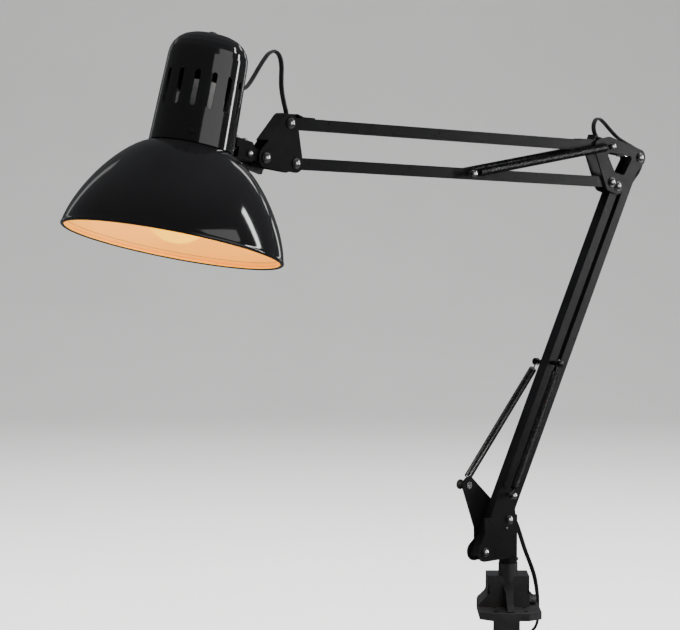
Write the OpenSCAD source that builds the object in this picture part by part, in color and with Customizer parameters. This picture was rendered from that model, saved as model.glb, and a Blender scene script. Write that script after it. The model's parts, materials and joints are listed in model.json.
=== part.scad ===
// Clamp-on architect desk lamp with two spring-balanced parallelogram arms.
// The arms lie in one upright plane, the arm plane, that turns about the post.
// In the arm plane x runs from the shade towards the elbow, z is up, and the near side is -y.
// The origin is on the underside of the clamp's foot, below the post.

/* [Arms] */
// Distance between the pivots of the lower arm
lower_arm = 382; // [340:1:420]
// Distance between the pivots of the upper arm
upper_arm = 411; // [380:1:440]
// Lean of the lower arm from upright, in degrees
lower_lean = 28.8; // [26:0.1:30]
// Rise of the upper arm towards the shade, in degrees
upper_rise = 2.8; // [0:0.1:6]
// Angle that the arms are swung about the post, in degrees
arm_swing = 43.5; // [30:0.5:60]
// Side of the square tubes
tube = 10; // [9:0.5:10]
// Wall of the square tubes
tube_wall = 1.2; // [0.8:0.1:1.6]
// Thickness of the sheet-steel plates
plate = 1.5; // [1.2:0.1:2]

/* [Shade] */
// Outer radius of the rim
shade_r = 92.5; // [88:0.5:96]
// Height of the dome from its rim to the cap
dome_h = 81; // [76:1:84]
// Radius of the cap where it meets the dome
cap_r = 35.5; // [33:0.5:36]
// Height of the cap
cap_h = 94.5; // [92:0.5:100]
// Lean of the shade in the arm plane, in degrees
shade_lean = 14.5; // [12:0.5:20]
// Number of ventilation slots in the cap
slot_count = 15; // [10:1:16]

/* [Clamp] */
// Half the width of the foot
foot_half = 28.5; // [27:0.5:30]
// Thickness of the foot
foot_t = 6.7; // [6:0.1:8]
// Spacing of the foot's screw holes across
hole_dx = 28; // [26:1:30]
// Spacing of the foot's screw holes from front to back
hole_dy = 21; // [18:1:22]
// Widest table top that the clamp takes
throat = 62; // [50:1:70]

/* [Cord] */
// Width of the flat twin cord
cord_w = 5; // [4.6:0.1:5.4]
// Diameter of the coil at the middle of its turns
coil_d = 56; // [50:1:60]

/* [Hidden] */
$fn = 48;
fit = 0.05;              // radial clearance of a shaft in its hole
gap = 0.4;               // clearance between parts of different bodies
edge_in = 0.03;
tube_half = tube / 2;
plate_in = tube_half + 0.85;
plate_out = plate_in + plate;
bolt_r = 2;
head_r = 3.3;
washer_r = 4.6;
washer_t = 1;
upper_y = 11.5;          // distance of the upper springs from the arm plane
lower_y = 13.5;          // distance of the lower springs from the arm plane
coil_r = 3.5;
wire = 1.2;
hook_len = 24;
spring_gap = 8.5;        // from a spring pin to the first turn

// Pivots in the arm plane, as [x, z]
function polar(length, angle) = length * [cos(angle), sin(angle)];
lower_dir = polar(1, 90 - lower_lean);
upper_dir = polar(1, 180 - upper_rise);
lower_pair = [-32.5, -27];
upper_pair = [-6, 34];
base_a = [-6.5, 87.5];
base_b = base_a + lower_pair;
elbow_a = base_a + lower_arm * lower_dir;
elbow_b = elbow_a + lower_pair;
elbow_c = elbow_a + [-41.5, -23.2];
elbow_d = elbow_c + upper_pair;
head_c = elbow_c + upper_arm * upper_dir;
head_d = elbow_d + upper_arm * upper_dir;
tilt_pin = head_c + [-34, 5];
far_anchor = base_a + [-40.2, 34.5];
near_anchor = base_a + [-3.2, 23.5];
lower_hook_pin = base_b + 193.5 * lower_dir;
upper_hook_pin = elbow_c + 198 * upper_dir;
upper_spring_trim = 0.7; // splits the small error of the spring's aim over its travel, in degrees

// Post and socket
post_r = 5;
socket_r = 9;
body_top = 34.3;
socket_top = 46;
spine_front = 8;
spine_back = 26;
jaw_top = -throat;
jaw_t = 13;
screw_r = 4;
screw_y = -27;
pad_z = jaw_top + 14;
lock_z = 11.6;
lock_r = 2.5;
post_foot = 6;           // lowest point of the post

// Shade frame: origin at the rim's centre, z along the axis towards the cap
shell = 1.2;
neck_r = 32.5;           // radius of the dome where it meets the cap
dome_round = 1.381;      // powers that shape the dome between its rim and its neck
dome_rise = 1.395;
cap_top_r = 33.4;
cap_base_z = dome_h;
holder_z = cap_base_z + 1.6;
holder_r = cap_r - shell - 0.3;
holder_t = 1.4;
cap_top_z = cap_base_z + cap_h;
cap_corner = 20;
slot_z = cap_base_z + 29.1;
slot_len = 30.3;
slot_w = 4.3;
slot_phase = 0.2;
stud_z = 92.07;
stud_r = 4;
stud_reach = 76.16;      // from the shade's axis to the tilt pin
rim_centre = tilt_pin - stud_reach * polar(1, -shade_lean) - stud_z * polar(1, 90 - shade_lean);
bulb_r = 30;
bulb_z = 31;
bulb_neck_r = 13;
bulb_top = 83.7;         // collar where the glass meets the metal cap
bulb_wall = 0.9;
cord_exit_z = 142;

// ---------- helpers ----------

// Turns the arm plane about the post
module arm_plane() {
    rotate([0, 0, arm_swing]) children();
}

// Places a child at a pivot of the arm plane
module at_pivot(p, y = 0) {
    translate([p.x, y, p.y]) children();
}

// Extrudes an outline drawn in [x, z] from y to y + t
module slab(y, t) {
    translate([0, y + t, 0]) rotate([90, 0, 0]) linear_extrude(t) children();
}

// A rod across the arm plane from y0 to y1
module cross_rod(p, r, y0, y1) {
    at_pivot(p, y0) rotate([-90, 0, 0]) cylinder(r = r, h = y1 - y0);
}

// Outline whose corners are rounded about the given points, which run anticlockwise.
// The edges lie edge_in inside the tangents, so that every edge crosses its arcs cleanly.
module rounded_outline(points, r) {
    half = r - edge_in;
    if (len(points) > 2) polygon(points);
    for (i = [0 : len(points) - 1]) {
        a = points[i];
        b = points[(i + 1) % len(points)];
        d = b - a;
        translate(a) circle(r);
        translate(a) rotate(atan2(d.y, d.x)) translate([0, -half]) square([norm(d), 2 * half]);
    }
}

// Domed bolt head standing on a face at y, its crown towards the side given by dir
module bolt_head(p, y, dir, r = head_r) {
    at_pivot(p, y) rotate([-90 * dir, 0, 0]) rotate_extrude() intersection() {
        translate([0, -1.6]) circle(r = 1.27 * r, $fn = 64);
        square([r, 1.27 * r]);
    }
}

// Bolt through both plates of a bracket: near head, near washer, shank, far nut
module pivot_bolt(p) {
    bolt_head(p, -plate_out - washer_t, -1);
    cross_rod(p, washer_r, -plate_out - washer_t, -plate_out);
    cross_rod(p, bolt_r, -plate_out, plate_out);
    at_pivot(p, plate_out) rotate([-90, 0, 0]) cylinder(r = 4, h = 3.2, $fn = 6);
    cross_rod(p, bolt_r, plate_out + 3, plate_out + 4.4);
}

// Thin washers that keep a tube between the plates
module gap_washers(p) {
    for (side = [-1, 1]) {
        low = side < 0 ? -plate_in : tube_half + 0.15;
        difference() {
            cross_rod(p, washer_r, low, low + 0.7);
            cross_rod(p, bolt_r + fit, low - 1, low + 2);
        }
    }
}

// Square tube from pivot a to pivot b, with a bore at each pivot
module bar(a, b, tail = 6) {
    d = b - a;
    at_pivot(a) rotate([0, -atan2(d.y, d.x), 0]) difference() {
        translate([-tail, -tube_half, -tube_half]) cube([norm(d) + 2 * tail, tube, tube]);
        translate([-tail - 1, tube_wall - tube_half, tube_wall - tube_half])
            cube([norm(d) + 2 * tail + 2, tube - 2 * tube_wall, tube - 2 * tube_wall]);
        for (x = [0, norm(d)]) {
            translate([x, tube, 0]) rotate([90, 0, 0]) cylinder(r = bolt_r + fit, h = 2 * tube);
        }
        children();
    }
}

// Cuts a tube's end to an arc of radius r about its pivot at x, on the side given by dir
module round_end(x, dir, r) {
    translate([x, 0, 0]) difference() {
        translate([dir > 0 ? 0 : -tube, -tube, -tube]) cube([tube, 2 * tube, 2 * tube]);
        translate([0, 2 * tube, 0]) rotate([90, 0, 0]) cylinder(r = r, h = 4 * tube);
    }
}

// Slot for the cord in the wall on the tube's lower local face
module cord_slot(start, length) {
    width = cord_w + 0.6;
    translate([start, -width / 2, -tube]) cube([length, width, tube]);
}

// Spring body along x from its pin at the origin: eye, shank and close-wound coil
module spring_body(coil_len) {
    rotate([-90, 0, 0]) translate([0, 0, -wire / 2]) difference() {
        cylinder(r = 3.4, h = wire);
        translate([0, 0, -1]) cylinder(r = bolt_r + 0.25, h = wire + 2);
    }
    translate([3.2, 0, 0]) rotate([0, 90, 0]) cylinder(r = wire / 2, h = spring_gap - 1);
    translate([spring_gap, 0, 0]) rotate([0, 90, 0]) difference() {
        cylinder(r = coil_r, h = coil_len);
        translate([0, 0, 1.2]) cylinder(r = coil_r - 0.6, h = coil_len);
    }
}

// The last turns of a spring, after the coil
module spring_tip(start) {
    translate([start, 0, 0]) rotate([0, 90, 0]) difference() {
        cylinder(r = coil_r, h = 2.4);
        translate([0, 0, -1]) cylinder(r = coil_r - 0.6, h = 5);
    }
}

// Hook on a pin at the origin, its straight shank along +x into the coil
module hook() {
    rotate([-90, 0, 0]) translate([0, 0, -wire / 2]) difference() {
        cylinder(r = 3.4, h = wire);
        translate([0, 0, -1]) cylinder(r = bolt_r + 0.15, h = wire + 2);
    }
    translate([3.2, 0, 0]) rotate([0, 90, 0]) cylinder(r = 0.6, h = hook_len);
}

// Places a child with its x axis from pivot a towards pivot b
module aimed(a, b, y, trim = 0) {
    d = b - a;
    at_pivot(a, y) rotate([0, -atan2(d.y, d.x) + trim, 0]) children();
}

function coil_length(a, b) = norm(b - a) - 2 * spring_gap - 2.4;

// ---------- clamp ----------

// Side profile of the body above the foot, in [y, z]
function body_side() = [
    [spine_back, 0], [-15, 0], [-15, foot_t], [-7, body_top], [spine_back, body_top]
];

// Half of the body's front profile, in [x, z]: upright, then flaring out to the foot
function flare() = [
    [19.5, body_top], [19.5, 20],
    for (a = [0 : 15 : 60]) [19.5 + 7 * (1 - cos(a)), 20 - 7 * sin(a)],
    for (a = [60 : -15 : 0]) [28.2 - 6 * (1 - cos(a)) - 0.2, 7 + 6 * sin(a) * 0.9],
    [28, 0]
];

module clamp_body_block() {
    half = flare();
    other = [for (i = [len(half) - 1 : -1 : 0]) [-half[i].x, half[i].y]];
    intersection() {
        translate([0, spine_back, 0]) rotate([90, 0, 0]) linear_extrude(50) polygon(concat(half, other));
        translate([-40, 0, 0]) rotate([90, 0, 90]) linear_extrude(80) polygon(body_side());
    }
}

module foot_outline() {
    polygon([
        [-16.5, -52], [16.5, -52], [foot_half, -42], [foot_half, 12],
        [15, spine_back], [-15, spine_back], [-foot_half, 12], [-foot_half, -42]
    ]);
}

// Triangular rib with drafted sides, from the socket to the front of the foot
module gusset() {
    intersection() {
        translate([-10, 0, 0]) rotate([90, 0, 90]) linear_extrude(20)
            polygon([[-8, foot_t - 1], [-46, foot_t - 1], [-46, foot_t + 1], [-8, 27]]);
        linear_extrude(40) polygon([[-3, -47], [3, -47], [3.4, -20], [6, -7], [-6, -7], [-3.4, -20]]);
    }
}

module clamp_frame() {
    color("black") difference() {
        union() {
            linear_extrude(foot_t) foot_outline();
            clamp_body_block();
            translate([0, 0, foot_t]) cylinder(r = socket_r, h = socket_top - foot_t);
            gusset();
            translate([-12, spine_front, jaw_top - jaw_t])
                cube([24, spine_back - spine_front, throat + jaw_t + 1]);
            translate([-10, screw_y, jaw_top - jaw_t]) cube([20, spine_front - screw_y + 1, jaw_t]);
            translate([0, screw_y, jaw_top - jaw_t - 3]) cylinder(r = 12, h = jaw_t + 4);
        }
        translate([0, 0, post_foot - 1]) cylinder(r = post_r + fit, h = 60);
        translate([0, screw_y, jaw_top - 40]) cylinder(r = screw_r + fit, h = 60);
        for (x = [-1, 1], y = [-1, 1])
            translate([x * hole_dx / 2, -29.5 + y * hole_dy / 2, -1]) cylinder(r = 2.25, h = foot_t + 2);
        for (side = [-1, 1]) translate([side * 19.5 - 2, -20, 18]) cube([4, 12, 8]);
        translate([19.5, -20, foot_t]) cube([20, 28, 22]);
        translate([0, 0, lock_z]) rotate([0, 90, 0]) cylinder(r = lock_r + fit, h = 40);
    }
}

module clamp_screw() {
    color("silver") {
        translate([0, screw_y, jaw_top - 59]) cylinder(r = screw_r, h = 71);
        difference() {
            translate([0, screw_y, jaw_top - 72]) cylinder(r = 7, h = 14);
            translate([-20, screw_y, jaw_top - 65]) rotate([0, 90, 0]) cylinder(r = 3 + fit, h = 40);
        }
    }
}

module clamp_handle() {
    color("silver") translate([-32, screw_y, jaw_top - 65]) rotate([0, 90, 0]) {
        cylinder(r = 3, h = 64);
        for (x = [0, 60]) translate([0, 0, x]) cylinder(r = 4.4, h = 4);
    }
}

module clamp_pad() {
    color("dimgray") translate([0, screw_y, 0]) difference() {
        union() {
            translate([0, 0, pad_z]) cylinder(r = 14, h = 3);
            translate([0, 0, pad_z - 5]) cylinder(r = 8, h = 6);
        }
        translate([0, 0, pad_z - 20]) cylinder(r = screw_r + fit, h = 18.5);
    }
}

// Thumb screw that presses on the post, with its lock nut
module lock_screw() {
    color("silver") translate([0, 0, lock_z]) rotate([0, 90, 0]) {
        translate([0, 0, post_r + 0.1]) cylinder(r = lock_r, h = 19);
        translate([0, 0, 19.9]) cylinder(r = 4.3, h = 2, $fn = 6);
        translate([0, 0, 22.6]) cylinder(r = 4.4, h = 3.4);
    }
}

// ---------- base bracket ----------

module base_post() {
    color("black") {
        translate([0, 0, post_foot]) cylinder(r = post_r, h = 46);
        translate([0, 0, socket_top + gap]) cylinder(r = 8.5, h = 5);
        arm_plane() translate([-13, -plate_in, socket_top + 5.2]) cube([17, 2 * plate_in, 19.7]);
    }
}

// Grub screw in the side of the hub
module hub_screw() {
    color("silver") translate([8, 0, socket_top + 3.4]) rotate([0, 90, 0]) cylinder(r = 1.5, h = 1.6);
}

module base_holes(y) {
    cross_rod(base_a, bolt_r, y - 2, y + 4);
    cross_rod(base_b, bolt_r, y - 2, y + 4);
}

module base_plate_near() {
    ear = near_anchor + [-5, -3];
    color("black") arm_plane() difference() {
        slab(-plate_out, plate) union() {
            rounded_outline([base_b, base_a + [1.5, 0], near_anchor, ear], 8);
            translate([base_b.x, 51.5]) square([4.5 - base_b.x, 40]);
            rounded_outline([base_b, base_b + [4, 0], base_b + [4, 3]], 9);
        }
        base_holes(-plate_out);
        cross_rod(near_anchor, bolt_r, -plate_out - 2, -plate_out + 4);
    }
}

module base_plate_far() {
    color("black") arm_plane() difference() {
        slab(plate_in, plate) union() {
            rounded_outline([base_b + [14, 8], base_a, far_anchor], 8);
            translate([base_b.x, 51.5]) square([4.5 - base_b.x, 40]);
            rounded_outline([base_b, base_b + [4, 0], base_b + [4, 3]], 9);
        }
        base_holes(plate_in);
        cross_rod(far_anchor, bolt_r, plate_in - 2, plate_in + 4);
    }
}

module base_bolts() {
    color("silver") arm_plane() {
        pivot_bolt(base_a);
        pivot_bolt(base_b);
        at_pivot(base_a + [-3.4, -7.4], -plate_out) rotate([90, 0, 0]) cylinder(r = 1.2, h = 0.8);
    }
}

module base_washers() {
    color("silver") arm_plane() {
        gap_washers(base_a);
        gap_washers(base_b);
    }
}

module base_spring_pins() {
    reach = lower_y + 3;
    color("silver") arm_plane() {
        cross_rod(near_anchor, bolt_r, -reach, -plate_in + 0.6);
        bolt_head(near_anchor, -reach, -1);
        cross_rod(far_anchor, head_r, tube_half + 0.3, plate_in);
        cross_rod(far_anchor, bolt_r, plate_in, reach);
        cross_rod(far_anchor, washer_r, reach, reach + 1.4);
    }
}

// ---------- lower arm ----------

module lower_bar_right() {
    color("black") arm_plane() bar(base_a, elbow_a) {
        cord_slot(-3, 16);
        cord_slot(lower_arm - 31, 21);
    }
}

module lower_bar_left() {
    color("black") arm_plane() bar(base_b, elbow_b) {
        round_end(lower_arm, 1, 4.9);
        translate([193.5, tube, 0]) rotate([90, 0, 0]) cylinder(r = bolt_r, h = 2 * tube);
    }
}

module hook_pin(p, reach) {
    cross_rod(p, bolt_r, -reach, reach);
    bolt_head(p, -reach, -1);
    bolt_head(p, reach, 1);
}

module lower_spring_pin() {
    color("silver") arm_plane() hook_pin(lower_hook_pin, lower_y + 2.6);
}

module lower_spring_hooks() {
    color("silver") arm_plane() {
        aimed(lower_hook_pin, near_anchor, -lower_y) hook();
        aimed(lower_hook_pin, far_anchor, lower_y) hook();
    }
}

module lower_spring_near() {
    color("silver") arm_plane()
        aimed(near_anchor, lower_hook_pin, -lower_y) spring_body(coil_length(near_anchor, lower_hook_pin));
}

module lower_tip_near() {
    color("silver") arm_plane() aimed(near_anchor, lower_hook_pin, -lower_y)
        spring_tip(spring_gap + coil_length(near_anchor, lower_hook_pin));
}

module lower_spring_far() {
    color("silver") arm_plane()
        aimed(far_anchor, lower_hook_pin, lower_y) spring_body(coil_length(far_anchor, lower_hook_pin));
}

module lower_tip_far() {
    color("silver") arm_plane() aimed(far_anchor, lower_hook_pin, lower_y)
        spring_tip(spring_gap + coil_length(far_anchor, lower_hook_pin));
}

// ---------- elbow ----------

module elbow_plate(y) {
    corner = elbow_d + [-11, -1];
    difference() {
        slab(y, plate) difference() {
            rounded_outline([corner, elbow_c + [-1, -1], elbow_b, elbow_a, elbow_d + [2, 1.5]], 8);
            rounded_outline(
                [elbow_d + [3, -8], elbow_c + [6, 11.5], elbow_b + [8, 13], elbow_a + [-15, -1]],
                2.5
            );
        }
        for (p = [elbow_a, elbow_b, elbow_c, elbow_d]) cross_rod(p, bolt_r, y - 2, y + 4);
    }
}

module elbow_plate_near() {
    color("black") arm_plane() elbow_plate(-plate_out);
}

module elbow_plate_far() {
    color("black") arm_plane() elbow_plate(plate_in);
}

module elbow_bolts() {
    reach = upper_y + 2.6;
    color("silver") arm_plane() {
        for (p = [elbow_a, elbow_b, elbow_c]) pivot_bolt(p);
        cross_rod(elbow_d, bolt_r, -reach, reach);
        bolt_head(elbow_d, -reach, -1, 3.5);
        bolt_head(elbow_d, reach, 1, 3.5);
    }
}

module elbow_washers() {
    color("silver") arm_plane() for (p = [elbow_a, elbow_b, elbow_c, elbow_d]) gap_washers(p);
}

module elbow_spacer() {
    color("silver") arm_plane() cross_rod(elbow_a + [-19, 3], 2, -plate_in, plate_in);
}

// ---------- upper arm ----------

module upper_bar_top() {
    color("black") arm_plane() bar(elbow_d, head_d) {
        cord_slot(0, 15);
        cord_slot(upper_arm - 12, 15);
    }
}

module upper_bar_bottom() {
    color("black") arm_plane() bar(elbow_c, head_c) {
        round_end(0, -1, 4.2);
        translate([198, tube, 0]) rotate([90, 0, 0]) cylinder(r = bolt_r, h = 2 * tube);
    }
}

// Strip on the tube's upper face; its end beside the cord is bent up
module cord_guard() {
    face = -tube_half;
    translate([0, tube_half, 0]) rotate([90, 0, 0]) linear_extrude(tube) polygon([
        [0, face], [20, face], [20, face - 1], [1.4, face - 1], [-0.8, face - 5.8], [-1.8, face - 5.4]
    ]);
}

// Strip that lifts off the tube towards the head bracket
module head_guard() {
    face = -tube_half;
    translate([0, tube_half, 0]) rotate([90, 0, 0]) linear_extrude(tube) polygon([
        [0, face], [-14, face], [-14, face - 1], [-1, face - 1.2], [6.4, face - 3.4], [6.8, face - 2.4]
    ]);
}

module cord_guards() {
    color("black") arm_plane() {
        aimed(elbow_d, head_d, 0) translate([16, 0, 0]) cord_guard();
        aimed(elbow_d, head_d, 0) translate([upper_arm - 16, 0, 0]) head_guard();
    }
}

module upper_spring_pin() {
    color("silver") arm_plane() hook_pin(upper_hook_pin, upper_y + 2.6);
}

module upper_spring_hooks() {
    color("silver") arm_plane() for (side = [-1, 1])
        aimed(upper_hook_pin, elbow_d, side * upper_y) hook();
}

module upper_spring(side) {
    aimed(elbow_d, upper_hook_pin, side * upper_y, upper_spring_trim)
        spring_body(coil_length(elbow_d, upper_hook_pin));
}

module upper_spring_near() {
    color("silver") arm_plane() upper_spring(-1);
}

module upper_spring_far() {
    color("silver") arm_plane() upper_spring(1);
}

module upper_tips() {
    color("silver") arm_plane() for (side = [-1, 1])
        aimed(elbow_d, upper_hook_pin, side * upper_y, upper_spring_trim)
            spring_tip(spring_gap + coil_length(elbow_d, upper_hook_pin));
}

// ---------- head ----------

web_out = 9.4;           // outer face of the head bracket's web, from the line of its two pivots

// The strip beside the two left pivots in which the bracket is folded
module web_region() {
    edge = tilt_pin - head_d;
    translate(head_d) rotate(atan2(edge.y, edge.x)) translate([-4, -20]) square([norm(edge) - 8, 20]);
}

module head_outline() {
    rounded_outline([head_d, tilt_pin, head_c], 8);
    intersection() {
        rounded_outline([head_d, tilt_pin], web_out);
        web_region();
    }
}

// Two plates joined by a web along their upper left edge
module head_bracket() {
    color("black") arm_plane() difference() {
        union() {
            slab(-plate_out, plate) head_outline();
            slab(plate_in, plate) head_outline();
            slab(-plate_in - 0.5, 2 * plate_in + 1) intersection() {
                difference() {
                    rounded_outline([head_d, tilt_pin], web_out);
                    rounded_outline([head_d, tilt_pin], web_out - 1.2);
                }
                web_region();
            }
        }
        for (p = [head_c, head_d, tilt_pin]) cross_rod(p, bolt_r, -20, 20);
    }
}

module head_bolts() {
    color("silver") arm_plane() {
        pivot_bolt(head_c);
        pivot_bolt(head_d);
        bolt_head(tilt_pin, -plate_out - washer_t, -1);
        cross_rod(tilt_pin, washer_r, -plate_out - washer_t, -plate_out);
        cross_rod(tilt_pin, bolt_r, -plate_out, plate_out + 8);
    }
}

module head_washers() {
    color("silver") arm_plane() for (p = [head_c, head_d, tilt_pin]) gap_washers(p);
}

// Nut with a stamped lever, whose end is turned up
module tilt_wing_nut() {
    left = tilt_pin + [-15.4, -4.4];
    right = tilt_pin + [8, -12];
    low = plate_out + 0.4;
    color("silver") arm_plane() difference() {
        union() {
            cross_rod(tilt_pin, 5, low, low + 4);
            slab(low + 1, 2.4) {
                rounded_outline([left, right], 2.3);
                rounded_outline([right, right + [3.2, 4.4]], 1.8);
                polygon([left, right, tilt_pin + [4, 0], tilt_pin + [-4, 2]]);
            }
        }
        cross_rod(tilt_pin, bolt_r + fit, low - 1, low + 8);
    }
}

// ---------- knuckle and shade ----------

// Frame of the shade: its axis is z, and x points from the axis towards the knuckle
module shade_frame() {
    arm_plane() translate([rim_centre.x, 0, rim_centre.y]) rotate([0, shade_lean, 0]) children();
}

module knuckle_block() {
    z = stud_z;
    color("black") shade_frame() difference() {
        union() {
            translate([stud_reach - 34.5, 7, z]) rotate([90, 0, 0]) linear_extrude(14) polygon([
                [3.5, -7], [20.5, -7], [20.5, 5], [17, 9], [0, 9], [0, 1.5], [3.5, 1.5]
            ]);
            translate([stud_reach - 15, -tube_half, z - tube_half]) cube([15, tube, tube]);
            translate([stud_reach, tube_half, z]) rotate([90, 0, 0]) cylinder(r = tube_half, h = tube);
        }
        translate([stud_reach, tube, z]) rotate([90, 0, 0]) cylinder(r = bolt_r + fit, h = 2 * tube);
        translate([stud_reach - 35, 0, z]) rotate([0, 90, 0]) cylinder(r = stud_r + fit, h = 19);
    }
}

module screw_head() {
    rotate_extrude() intersection() {
        translate([0, -1]) circle(r = 3.6, $fn = 64);
        square([2.8, 4]);
    }
}

// Clamp screws on the block's upper face and on its near side
module knuckle_screws() {
    color("silver") shade_frame() {
        for (x = [-30.5, -21]) translate([stud_reach + x, 0, stud_z + 9]) screw_head();
        translate([stud_reach - 18.4, -7, stud_z - 1]) rotate([90, 0, 0]) screw_head();
    }
}

module shade_stud() {
    color("silver") shade_frame() {
        translate([cap_r - 1.4, 0, stud_z]) rotate([0, 90, 0]) cylinder(r = 8, h = 3.2);
        translate([cap_r, 0, stud_z]) rotate([0, 90, 0]) cylinder(r = stud_r, h = stud_reach - 17 - cap_r);
    }
}

// Outer profile of the dome, in [radius, height]
function dome_curve(inset) = [
    for (i = [0 : 14])
        let (t = i / 14, a = 90 * t)
        [
            neck_r + (shade_r - neck_r - inset) * pow(cos(a), dome_round),
            (dome_h - inset) * pow(sin(a), dome_rise)
        ]
];

module dome_profile() {
    polygon(concat(
        dome_curve(0),
        [[neck_r - 3, dome_h], [neck_r - 3, dome_h - shell]],
        [for (i = [14 : -1 : 0]) dome_curve(shell)[i]]
    ));
}

module shade_dome() {
    color("black") shade_frame() {
        rotate_extrude($fn = 96) {
            dome_profile();
            translate([shade_r - 1.2, 0.2]) circle(r = 1.7, $fn = 24);
        }
    }
}

// Profile of the cap's shell, in [radius, height]
module cap_profile(inset) {
    r = cap_top_r - inset;
    corner_z = cap_top_z - cap_corner;
    polygon(concat(
        [[0, cap_base_z], [cap_r - inset, cap_base_z], [r, corner_z]],
        [for (a = [15 : 15 : 90]) [r - cap_corner * (1 - cos(a)), corner_z - inset + cap_corner * sin(a)]],
        [[0, cap_top_z - inset]]
    ));
}

module shade_cap() {
    color("black") shade_frame() difference() {
        rotate_extrude($fn = 96) cap_profile(0);
        translate([0, 0, -0.01]) rotate_extrude($fn = 96) cap_profile(shell);
        for (i = [0 : slot_count - 1]) rotate((i + slot_phase) * 360 / slot_count) slot();
        translate([0, 0, cord_exit_z]) rotate([0, 90, 0]) cylinder(r = 3.5, h = 50);
        translate([0, 0, cap_top_z - 10]) cylinder(r = 4.6, h = 20);
    }
}

module slot() {
    translate([20, 0, slot_z]) rotate([0, 90, 0]) {
        for (z = [-slot_w / 2, slot_w / 2 - slot_len])
            translate([z, 0, 0]) cylinder(r = slot_w / 2, h = 20);
        translate([slot_w / 2 - slot_len, -slot_w / 2, 0]) cube([slot_len - slot_w, slot_w, 20]);
    }
}

module cap_screws() {
    color("silver") shade_frame() for (a = [-133.5, 46.5]) rotate(a)
        translate([cap_r - 0.6, 0, cap_base_z + 9]) rotate([0, 90, 0]) cylinder(r = 2, h = 1.6);
}

module lamp_holder() {
    color("white") shade_frame() difference() {
        union() {
            translate([0, 0, 84]) cylinder(r = 20, h = 40);
            translate([0, 0, 124]) cylinder(r = 14, h = 12);
        }
        translate([0, 0, 80]) cylinder(r = 14, h = 29.7);
    }
}

// Vented disc that carries the lamp holder inside the cap, with a skirt that keeps the light in
module holder_plate() {
    skirt = holder_z - cap_base_z - 0.1;
    color("silver") shade_frame() translate([0, 0, holder_z]) {
        difference() {
            translate([0, 0, -skirt]) cylinder(r = holder_r, h = skirt + holder_t);
            translate([0, 0, -skirt - 1]) cylinder(r = holder_r - 0.8, h = skirt + 1);
            translate([0, 0, -1]) cylinder(r = 14.6, h = 4);
            for (a = [0 : 45 : 315]) rotate(a) translate([26.5, 0, -1]) cylinder(r = 3, h = 4);
        }
    }
}

// Outer profile of the bulb's glass, in [radius, height]
function bulb_curve(inset) = concat(
    [for (a = [0 : 7.5 : 120]) [(bulb_r - inset) * sin(a), bulb_z - (bulb_r - inset) * cos(a)]],
    [for (p = [[20, 58], [15.5, 70], [bulb_neck_r, bulb_top]]) p - [inset, 0]]
);

module bulb_glass() {
    inner = bulb_curve(bulb_wall);
    color("lightyellow") shade_frame() rotate_extrude($fn = 96) polygon(concat(
        bulb_curve(0), [for (i = [len(inner) - 1 : -1 : 0]) inner[i]]
    ));
}

module bulb_base() {
    color("silver") shade_frame() translate([0, 0, bulb_top]) difference() {
        union() {
            cylinder(r = bulb_neck_r, h = 22);
            cylinder(r = 5, h = 26);
        }
        translate([0, 0, -1]) cylinder(r = bulb_neck_r - 1, h = 22);
    }
}

module switch_body() {
    color("dimgray") shade_frame() translate([0, 0, cap_top_z - 16]) difference() {
        union() {
            cylinder(r = 9, h = 14);
            cylinder(r = 4.5, h = 17.2);
        }
        translate([0, 0, 6]) cylinder(r = 3.1, h = 20);
    }
}

module switch_button() {
    color("dimgray") shade_frame() translate([0, 0, cap_top_z - 7]) cylinder(r = 3, h = 10.5);
}

// Tapered bush where the cord leaves the cap
module cord_bush() {
    color("black") shade_frame() translate([30, 0, cord_exit_z]) rotate([0, 90, 0]) difference() {
        rotate_extrude() polygon([
            [0, 0], [4.6, 0], [4.6, 2], [3.4, 2], [3.4, 4.4], [4.6, 4.4], [4.2, 5.6], [3.1, 9.6], [0, 9.6]
        ]);
        translate([0, 0, -1]) cylinder(r = 2.2, h = 7);
    }
}

// ---------- cord ----------

// Routes of the cord in the arm plane, as [x, z]
head_shade_route = [
    [-335.2, 482.7], [-331.2, 481.6], [-327, 481.7], [-322.8, 484.2], [-318.8, 488.4], [-314, 494.4],
    [-308.7, 501.2], [-304, 506.7], [-299, 511.4], [-295.8, 513.5], [-293.2, 513.9]
];
head_bracket_route = [
    [-292.8, 513.9], [-290.4, 513.5], [-287.5, 511.2], [-285.6, 507.5], [-284.4, 501], [-284.6, 493],
    [-284.6, 485], [-283.4, 477], [-281.4, 469.5], [-279.4, 463], [-278.2, 456.6]
];
elbow_upper_route = [
    [127.5, 436.6], [123.6, 440], [119.8, 444.4], [117.6, 449.4], [117.8, 454.8], [121, 459],
    [126, 459.4], [131, 456.8], [137, 452.4], [144, 447.2], [152, 442], [161, 438], [170, 434.6],
    [178, 431.4]
];
elbow_lower_route = [
    [178, 431.4], [185.6, 428.2], [188.4, 422.2], [186.8, 414.6], [182.6, 408], [176.8, 402.4],
    [171.4, 397.4]
];
tail_route = [
    [-2.7, 88.2], [1.8, 88.4], [6.6, 86.4], [10.8, 82], [14.4, 75], [18.4, 66], [23, 56], [28, 46.5],
    [33, 37], [37, 27.5], [39.6, 17.5], [41.2, 7], [41.8, -4]
];

// The rest of the tail and the lead to the plug, as [x, y, z] beside the clamp
tail_end_route = [
    [30.2, 30, -13.5], [28, 31.6, -21], [23.2, 33.4, -26.6], [17.2, 35, -32], [11.2, 36, -37.6]
];
lead_route = [
    [-0.6, 41, -66], [0.4, 40.4, -74], [1.4, 39.4, -82], [2.2, 38, -90], [2.6, 36.8, -98], [2.8, 36.2, -106]
];
coil_centre = [30, 36, -62];
coil_bundle = 8.5;
tie_angle = 118;
plug_centre = [2.8, 36, -142];
plug_height = 36;

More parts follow.
